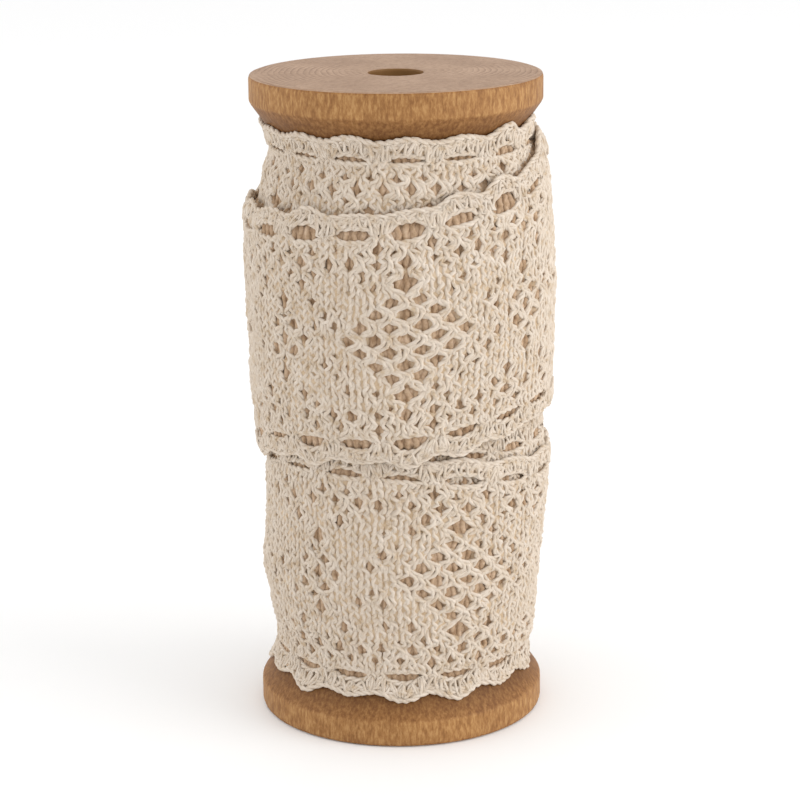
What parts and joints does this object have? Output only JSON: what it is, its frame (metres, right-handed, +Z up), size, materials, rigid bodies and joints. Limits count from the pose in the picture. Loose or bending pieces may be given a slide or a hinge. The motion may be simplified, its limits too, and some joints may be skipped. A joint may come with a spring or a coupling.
{
  "type": "lace ribbon spool",
  "caption": "Upright turned wooden spool with bevelled flanges and a through bore, wound with overlapping courses of scalloped cotton lace ribbon.",
  "frame": {"origin": "centre of the lower flange's flat face, on the spool's axis, where the spool stands", "axes": "+Z up along the spool's axis, -Y towards the side that the picture shows, +X to its right"},
  "size_m": [0.0552, 0.055, 0.1143],
  "materials": {
    "wood": "bare, lightly sanded, pale brown with darker end grain rings and bevels",
    "lace": "matt undyed cotton, soft twisted yarn with open holes"
  },
  "bodies": {
    "root": {"spool": "wood", "lace_roll": "lace"}
  },
  "joints": []
}
